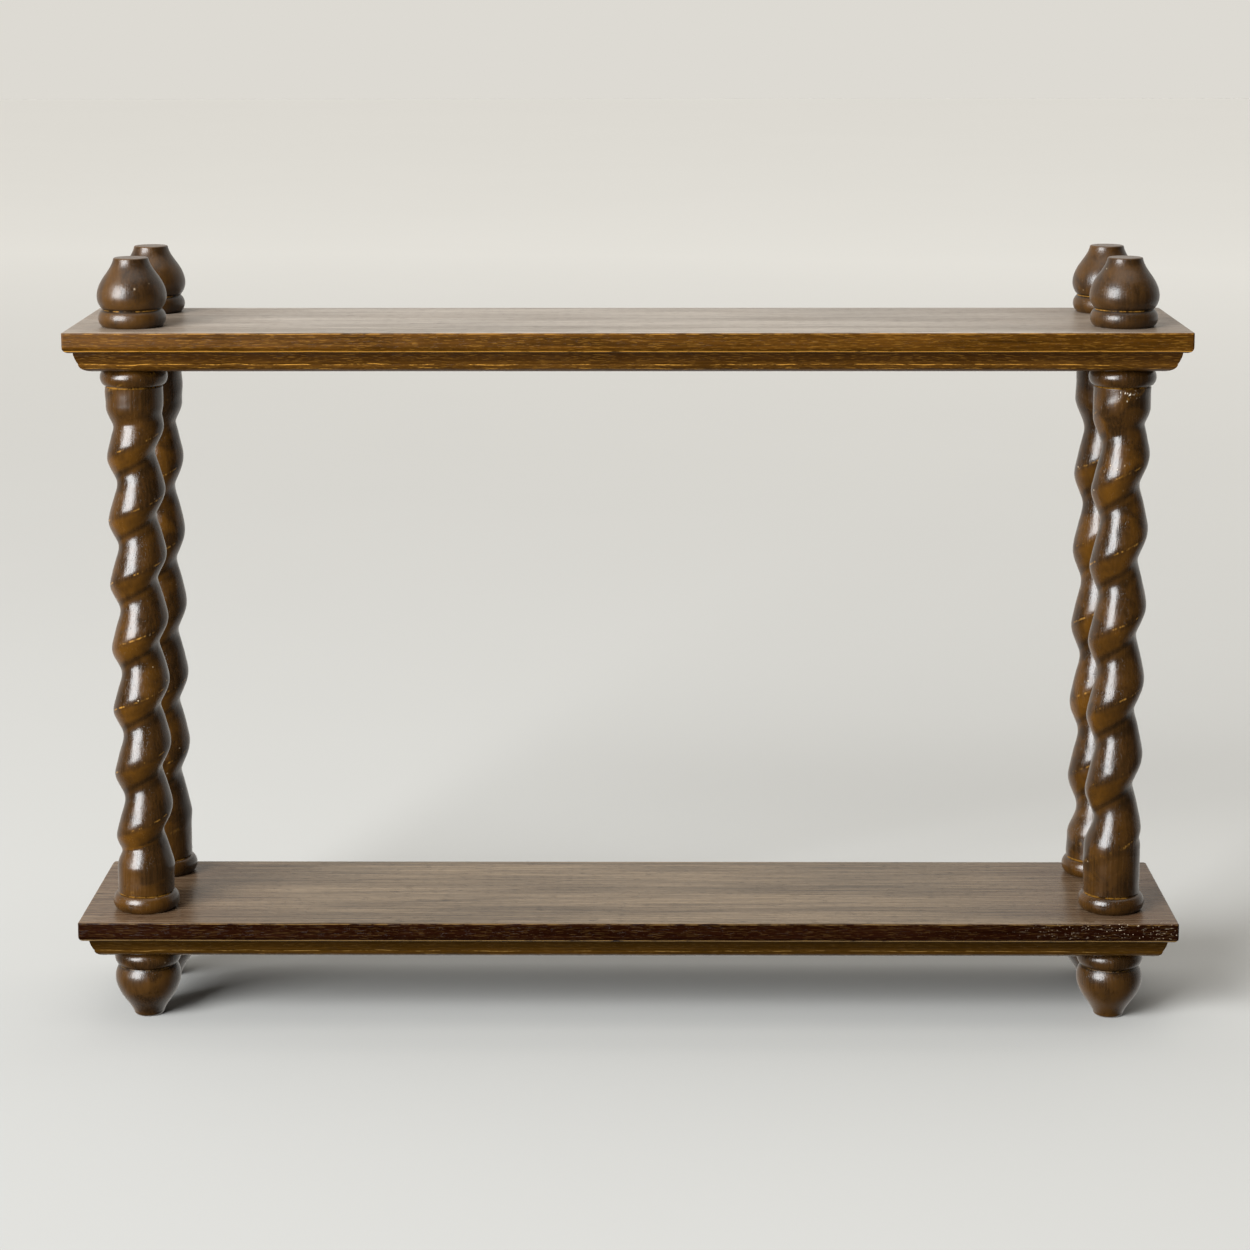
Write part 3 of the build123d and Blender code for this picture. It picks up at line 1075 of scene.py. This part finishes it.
    def swell(self, turn: Socket) -> Socket:
        """Give the twist's radius: a long upper flank and a short lower one.

        Args:
            turn: Angle from the crest.

        Returns:
            The radius.
        """
        bench, given = self.bench, self.given
        full = bench.math("ARCCOSINE", given["Crispness"])
        past = bench.minus(1.0, bench.math("COSINE", turn))
        leant = bench.math("COSINE", bench.onto(turn, past, given["Lean"]))
        leaning = bench.math("ARCCOSINE", bench.times(leant, given["Crispness"]))
        far = bench.minus(math.pi, full)
        return bench.span(leaning, full, far, given["Crest Radius"], given["Valley Radius"])

    def drift(self, height: Socket) -> Socket:
        """Give a slow wander about zero that differs from post to post."""
        spot = self.bench.join(self.given["Seed"], 0.0, self.bench.times(height, self.WANDER_RATE))
        return self.bench.minus(self.bench.noise(spot, 1.0, 0.5), 0.5)

    def tool_marks(self, angle: Socket, height: Socket) -> Socket:
        """Give the small unevenness that hand carving leaves.

        Args:
            angle: Angle about the axis.
            height: Height above the foot.

        Returns:
            What to add to the radius.
        """
        bench, given = self.bench, self.given
        spot = bench.join(
            bench.onto(given["Seed"], bench.math("COSINE", angle), self.MARKS_AROUND),
            bench.times(bench.math("SINE", angle), self.MARKS_AROUND),
            bench.times(height, self.MARKS_ALONG),
        )
        return bench.times(bench.minus(bench.noise(spot, 2.0, 0.5), 0.5), given["Tool Marks"])

    def skin(self) -> Socket:
        """Add the post's outside, with its crest and slope stored for the finish.

        Returns:
            The skin.
        """
        bench, given = self.bench, self.given
        mesh, share, angle = self.tube(given["Rows"])
        height = self.height(share)
        turned = bench.math("DIVIDE", bench.minus(height, given["Crest Height"]), given["Pitch"])
        wound = bench.onto(given["Crest Facing"], turned, math.tau)
        wound = bench.onto(wound, self.drift(height), given["Wobble"])
        turn = bench.minus(angle, wound)
        rope = self.swell(turn)
        above = bench.minus(given["Length"], height)
        collars = self.taper(height, given["Foot Collar"]), self.taper(above, given["Head Collar"])
        plain = bench.math("MAXIMUM", *collars)
        body = bench.math("SMOOTH_MAX", rope, plain, given["Softness"])
        body = bench.plus(body, self.tool_marks(angle, height))
        nearer = bench.math("MINIMUM", height, above)
        past_bead = bench.math("GREATER_THAN", nearer, bench.plus(given["Bead Height"], self.BEAD_STEP))
        outline = {0: past_bead, 2: self.bead(nearer), 3: body}
        radius = bench.add("ShaderNodeMix", outline, data_type="FLOAT").outputs[0]
        off = bench.math("ABSOLUTE", bench.minus(nearer, given["Bead Height"]))
        cut = bench.span(off, 0.0, given["Groove Width"], given["Groove Depth"], 0.0)
        crest = bench.span(rope, given["Valley Radius"], given["Crest Radius"], 0.0, 1.0)
        carved = bench.ease(bench.minus(rope, plain), *self.CARVED)
        crest = bench.onto(self.PLAIN_CREST, bench.minus(crest, self.PLAIN_CREST), carved)
        slope = bench.times(bench.math("SINE", turn), carved)
        marked = self.store(self.store(mesh, "crest", crest), "slope", slope)
        return self.placed(marked, bench.minus(radius, cut), angle, height)

    def store(self, mesh: Socket, name: str, value: Socket) -> Socket:
        """Keep a named value at each point of a mesh."""
        inputs = {"Geometry": mesh, "Name": name, "Value": value}
        return self.bench.add("GeometryNodeStoreNamedAttribute", inputs, domain="POINT").outputs[0]


def set_inputs(modifier: bpy.types.NodesModifier, values: dict[str, object]) -> None:
    """Set every input of a Geometry Nodes modifier.

    Args:
        modifier: The modifier.
        values: The values by input name.
    """
    for item in modifier.node_group.interface.items_tree:
        if item.item_type == "SOCKET" and item.in_out == "INPUT":
            modifier[item.identifier] = values[item.name]


def plain_mesh(source: bpy.types.Object, name: str) -> bpy.types.Mesh:
    """Turn an object's evaluated shape into a plain mesh.

    Args:
        source: The object with its modifier.
        name: The mesh's name.

    Returns:
        The mesh.
    """
    graph = bpy.context.evaluated_depsgraph_get()
    graph.update()
    evaluated = source.evaluated_get(graph)
    mesh = bpy.data.meshes.new_from_object(evaluated, preserve_all_data_layers=True, depsgraph=graph)
    mesh.name = name
    return mesh


def face_outwards(mesh: bpy.types.Mesh, sharp_angle: float) -> None:
    """Point a closed mesh's faces outwards and smooth all but its sharp edges.

    Args:
        mesh: The mesh.
        sharp_angle: Edges sharper than this stay sharp, in radians.
    """
    shape = bmesh.new()
    shape.from_mesh(mesh)
    bmesh.ops.recalc_face_normals(shape, faces=shape.faces)
    for face in shape.faces:
        face.smooth = True
    shape.to_mesh(mesh)
    shape.free()
    mesh.set_sharp_from_angle(angle=sharp_angle)


@dataclass
class TwistPosts:
    """The four posts between the boards, each turned, collared and carved with its own twist.

    Fields named like an input of the tree are fed to it.
    """

    bead_height: float = 12.0 * MM
    bead_radius: float = 23.0 * MM
    neck_radius: float = 20.0 * MM
    collar_radius: float = 19.5 * MM
    crest_radius: float = 19.6 * MM
    valley_radius: float = 12.9 * MM
    crispness: float = 0.76
    lean: float = 0.32
    run_out: float = 21.0 * MM
    run_out_radius: float = 12.5 * MM
    groove_depth: float = 1.1 * MM
    groove_width: float = 0.9 * MM
    softness: float = 2.6 * MM
    tool_marks: float = 0.7 * MM
    wobble: float = math.radians(22)
    bore_radius: float = 3.05 * MM
    bore_depth: float = 25.0 * MM
    fine_zone: float = 13.5 * MM
    fine_share: float = 0.16
    rows: int = 340
    around: int = 96
    sharp_angle: float = math.radians(50)
    twists: dict[Corner, Twist] = field(
        default_factory=lambda: {
            Corner.FRONT_LEFT: Twist(44.5 * MM, 185 * MM, math.pi, 18 * MM, 14 * MM, 3.1),
            Corner.FRONT_RIGHT: Twist(52.5 * MM, 218 * MM, 0.0, 34 * MM, 15 * MM, 11.7),
            Corner.BACK_LEFT: Twist(52.2 * MM, 200 * MM, 0.0, 32 * MM, 24 * MM, 23.3),
            Corner.BACK_RIGHT: Twist(55.5 * MM, 184 * MM, math.pi, 17 * MM, 22 * MM, 37.9),
        }
    )

    def build(self, finish: TwistFinish, shop: Workshop) -> None:
        """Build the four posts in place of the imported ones.

        Args:
            finish: Their finish.
            shop: The shared node groups.
        """
        tree = TwistTree().tree
        material = finish.make(shop)
        for corner, twist in self.twists.items():
            self.carve(tree, corner, twist, material)

    def sizes(self, corner: Corner, twist: Twist, material: bpy.types.Material) -> dict[str, object]:
        """List one post's inputs.

        Args:
            corner: Where the post stands.
            twist: Its twist.
            material: Its material.

        Returns:
            The tree's inputs by name.
        """
        low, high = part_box(f"post_{corner.value}")
        bulge = self.bead_radius - self.neck_radius
        bead_round = (self.bead_height**2 / 4 + bulge**2) / (2 * bulge)
        fields = {**vars(self), **vars(twist)}
        return {
            **{name.replace("_", " ").title(): value for name, value in fields.items()},
            "Length": high.z - low.z,
            "Bead Centre Radius": self.bead_radius - bead_round,
            "Bead Round": bead_round,
            "Foot Place": ((low.x + high.x) / 2, (low.y + high.y) / 2, low.z),
            "Finish": material,
        }

    def carve(
        self, tree: bpy.types.NodeTree, corner: Corner, twist: Twist, material: bpy.types.Material
    ) -> None:
        """Carve one post.

        Args:
            tree: The Geometry Nodes tree.
            corner: Where the post stands.
            twist: Its twist.
            material: Its material.
        """
        name = f"twist_post_{corner.value}"
        post = bpy.data.objects.new(name, bpy.data.meshes.new(name + "_blank"))
        bpy.context.scene.collection.objects.link(post)
        modifier = post.modifiers.new("carving", "NODES")
        modifier.node_group = tree
        set_inputs(modifier, self.sizes(corner, twist, material))
        mesh = plain_mesh(post, name)
        post.modifiers.remove(modifier)
        post.data = mesh
        face_outwards(mesh, self.sharp_angle)
        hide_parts(f"post_{corner.value}")
        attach(post, "root")
        LOG.info("%s: %d faces", name, len(mesh.polygons))


# ---------------------------------------------------------------------------------------------
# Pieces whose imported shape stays
# ---------------------------------------------------------------------------------------------


def dress(node: str, material: bpy.types.Material) -> None:
    """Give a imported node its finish.

    Args:
        node: The node's name.
        material: Its material.
    """
    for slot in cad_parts[node].material_slots:
        slot.material = material
    LOG.info("%s: finished in %s", node, material.name)


@dataclass
class Boards:
    """The two moulded boards."""

    upper: MouldedBoardFinish
    lower: MouldedBoardFinish

    def build(self, shop: Workshop) -> None:
        """Finish both boards."""
        dress("top_board", self.upper.make(shop))
        dress("bottom_board", self.lower.make(shop))


@dataclass
class Turnings:
    """The four finials and the four drops."""

    finial: TurnedFinish
    drop: TurnedFinish

    def build(self, shop: Workshop) -> None:
        """Finish all eight turnings.

        Args:
            shop: The shared node groups.
        """
        above, below = self.finial.make(shop), self.drop.make(shop)
        for corner in Corner:
            dress(f"finial_{corner.value}", above)
            dress(f"drop_{corner.value}", below)


@dataclass
class Ironmongery:
    """Dowel screws, keyhole plates and the plates' screws."""

    screw: SteelFinish
    plate: SteelFinish

    def build(self, shop: Workshop) -> None:
        """Finish the screws and the plates.

        Args:
            shop: The shared node groups.
        """
        screw, plate = self.screw.make(shop), self.plate.make(shop)
        for corner in Corner:
            dress(f"upper_dowel_screw_{corner.value}", screw)
            dress(f"lower_dowel_screw_{corner.value}", screw)
        for hand in Hand:
            dress(f"keyhole_plate_{hand.value}", plate)
            dress(f"plate_screws_{hand.value}", screw)


# ---------------------------------------------------------------------------------------------
# Studio
# ---------------------------------------------------------------------------------------------


@dataclass(frozen=True)
class SoftBox:
    """One soft area light."""

    name: str
    place: Triple
    aim: Triple
    width: float
    height: float
    power: float
    colour: Triple

    def hang(self) -> None:
        """Hang the light and point it at its aim."""
        lamp = bpy.data.lights.new(self.name, "AREA")
        lamp.shape = "RECTANGLE"
        lamp.size = self.width
        lamp.size_y = self.height
        lamp.energy = self.power
        lamp.color = self.colour
        light = bpy.data.objects.new(self.name, lamp)
        bpy.context.scene.collection.objects.link(light)
        light.location = self.place
        direction = Vector(self.aim) - Vector(self.place)
        light.rotation_euler = direction.to_track_quat("-Z", "Y").to_euler()


WINDOW = SoftBox(
    name="window_left",
    place=(-1.98, -2.22, 1.41),
    aim=(0.0, 0.0, 0.3),
    width=1.98,
    height=2.22,
    power=370.0,
    colour=(0.965, 0.985, 1.0),
)


@dataclass
class Studio:
    """Floor, surroundings, lights and camera."""

    floor_half: float = 14.0
    floor_finish: PaintedFloorFinish = PaintedFloorFinish("pale_floor", stain(255, 254, 250))
    lens: float = 91.99
    sensor: float = 36.0
    shift_y: float = -0.14
    far_clip: float = 60.0
    camera_place: Triple = (0.0156, -2.2017, 0.7405)
    pitch: float = math.radians(8.89)
    yaw: float = math.radians(-0.461)
    roll: float = math.radians(-0.067)
    wall_glow: Colour = stain(224, 220, 213)
    wall_side: Span = (-0.15, 0.5)
    room_glow: Colour = stain(66, 64, 60)
    ceiling_glow: Colour = stain(252, 250, 246)
    ceiling_from: Span = (0.7, 0.95)
    ceiling_strength: float = 2.4
    backdrop: Colour = stain(221, 218, 211)
    lights: tuple[SoftBox, ...] = (WINDOW,)

    def build(self, shop: Workshop) -> None:
        """Set up the whole studio.

        Args:
            shop: The shared node groups.
        """
        bpy.context.scene.view_settings.view_transform = "Standard"
        self.lay_floor(shop)
        self.paint_surroundings()
        for light in self.lights:
            light.hang()
        self.stand_camera()

    def lay_floor(self, shop: Workshop) -> None:
        """Lay the plain floor under the shelf's drops, left out of the polish's reflections.

        Args:
            shop: The shared node groups.
        """
        half = self.floor_half
        corners = [(-half, -half, 0), (half, -half, 0), (half, half, 0), (-half, half, 0)]
        mesh = bpy.data.meshes.new("floor")
        mesh.from_pydata(corners, [], [(0, 1, 2, 3)])
        mesh.materials.append(self.floor_finish.make(shop))
        floor = bpy.data.objects.new("floor", mesh)
        bpy.context.scene.collection.objects.link(floor)
        floor.visible_glossy = False

    def paint_surroundings(self) -> None:
        """Light the room evenly: pale wall, dim room and bright ceiling, with a plain backdrop."""
        world = bpy.data.worlds.new("pale_room")
        world.use_nodes = True
        world.node_tree.nodes.clear()
        bench = Bench(world.node_tree)
        _, y, z = bench.split(bench.add("ShaderNodeTexCoord").outputs["Generated"])
        overhead = bench.ease(z, *self.ceiling_from)
        walls = bench.blend(bench.ease(y, *self.wall_side), self.room_glow, self.wall_glow)
        colour = bench.blend(overhead, walls, self.ceiling_glow)
        strength = bench.onto(1.0, overhead, self.ceiling_strength - 1.0)
        glow = bench.add("ShaderNodeBackground", {"Color": colour, "Strength": strength})
        plain = bench.add("ShaderNodeBackground", {"Color": self.backdrop})
        seen = bench.add("ShaderNodeLightPath").outputs["Is Camera Ray"]
        either = bench.add("ShaderNodeMixShader", {0: seen, 1: glow.outputs[0], 2: plain.outputs[0]})
        bench.add("ShaderNodeOutputWorld", {0: either.outputs[0]})
        bpy.context.scene.world = world

    def stand_camera(self) -> None:
        """Stand the camera a little above the shelf, looking slightly down at it."""
        camera = bpy.data.cameras.new("camera")
        camera.sensor_width = self.sensor
        camera.lens = self.lens
        camera.shift_y = self.shift_y
        camera.clip_end = self.far_clip
        flat = math.cos(self.pitch)
        forward = Vector((math.sin(self.yaw) * flat, math.cos(self.yaw) * flat, -math.sin(self.pitch)))
        level = Vector((math.cos(self.yaw), -math.sin(self.yaw), 0.0))
        upright = level.cross(forward)
        right = level * math.cos(self.roll) + upright * math.sin(self.roll)
        top = upright * math.cos(self.roll) - level * math.sin(self.roll)
        turn = Matrix((right, top, -forward)).transposed().to_4x4()
        stand = bpy.data.objects.new("camera", camera)
        bpy.context.scene.collection.objects.link(stand)
        stand.matrix_world = Matrix.Translation(self.camera_place) @ turn
        bpy.context.scene.camera = stand


# ---------------------------------------------------------------------------------------------
# The shelf
# ---------------------------------------------------------------------------------------------


def upper_board_finish() -> MouldedBoardFinish:
    """Give the upper board's finish: golden brown edges under a pale top, whose paleness is partly painted
    sheen.
    """
    return MouldedBoardFinish(
        name="upper_board_polish",
        crown=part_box("top_board")[1].z,
        face_dark=stain(90, 81, 71),
        face_light_and_sheen=stain(166, 156, 145),
        end_reflection_tone=stain(92, 72, 52),
        band_dark=stain(33, 17, 0),
        band_light=stain(75, 44, 0),
        hollow_shade_tone=stain(38, 19, 1),
        lower_dark=stain(38, 20, 1),
        lower_light=stain(76, 47, 8),
        ledge_reflection_tone=stain(58, 34, 7),
        gold=GOLD,
        crown_wear=0.5,
        nose_wear=0.9,
        lip_wear=0.75,
        fleck_share=0.15,
        dusty_corner=0.0,
        pore_depth=0.55,
        roughness=0.28,
    )


def lower_board_finish() -> MouldedBoardFinish:
    """Give the lower board's finish: a near-black upper band over an olive-brown foot."""
    return MouldedBoardFinish(
        name="lower_board_polish",
        crown=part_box("bottom_board")[1].z,
        face_dark=stain(42, 31, 21),
        face_light_and_sheen=stain(127, 109, 87),
        end_reflection_tone=stain(66, 40, 22),
        band_dark=stain(12, 2, 0),
        band_light=stain(28, 8, 1),
        hollow_shade_tone=stain(34, 19, 1),
        lower_dark=stain(36, 21, 1),
        lower_light=stain(62, 39, 6),
        ledge_reflection_tone=stain(70, 55, 28),
        gold=stain(140, 108, 56),
        crown_wear=0.35,
        nose_wear=0.8,
        lip_wear=0.4,
        fleck_share=0.06,
        dusty_corner=1.0,
        pore_depth=0.7,
        roughness=0.17,
    )


def finial_finish() -> TurnedFinish:
    """Give the finials' finish, with their grooves well rubbed."""
    low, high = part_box("finial_front_left")
    return TurnedFinish(
        name="finial_polish",
        foot=low.z,
        upward=True,
        groove_at=12.0,
        groove_wear=0.5,
        roughness=0.27,
        tip_at=(high.z - low.z) / MM,
    )


def drop_finish() -> TurnedFinish:
    """Give the drops' finish, with their grooves hardly rubbed."""
    low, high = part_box("drop_front_left")
    return TurnedFinish(
        name="drop_polish",
        foot=high.z,
        upward=False,
        groove_at=12.0,
        groove_wear=0.15,
        roughness=0.22,
        tip_at=(high.z - low.z) / MM,
    )


def twist_finish() -> TwistFinish:
    """Give the posts' finish."""
    low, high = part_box("post_front_left")
    return TwistFinish(
        name="twist_post_polish",
        foot=low.z,
        upward=True,
        groove_at=12.2,
        groove_wear=0.35,
        roughness=0.18,
        mid=stain(50, 31, 10),
        amber=stain(76, 47, 6),
        length=high.z - low.z,
    )


SCREW_STEEL = SteelFinish(
    name="screw_steel",
    bright=stain(176, 176, 172),
    dull=stain(122, 120, 114),
    roughness=0.3,
    stretch=(2400.0, 2400.0, 300.0),
)
PLATE_ZINC = SteelFinish(
    name="plate_zinc",
    bright=stain(196, 196, 190),
    dull=stain(140, 140, 132),
    roughness=0.34,
    stretch=(160.0, 3000.0, 3000.0),
)


def main() -> None:
    """Build and finish every piece of the shelf, then set up the studio."""
    logging.basicConfig(level=logging.INFO, format="%(message)s")
    shop = Workshop()
    Boards(upper_board_finish(), lower_board_finish()).build(shop)
    Turnings(finial_finish(), drop_finish()).build(shop)
    TwistPosts().build(twist_finish(), shop)
    Ironmongery(SCREW_STEEL, PLATE_ZINC).build(shop)
    Studio().build(shop)


if __name__ == "__main__":
    main()
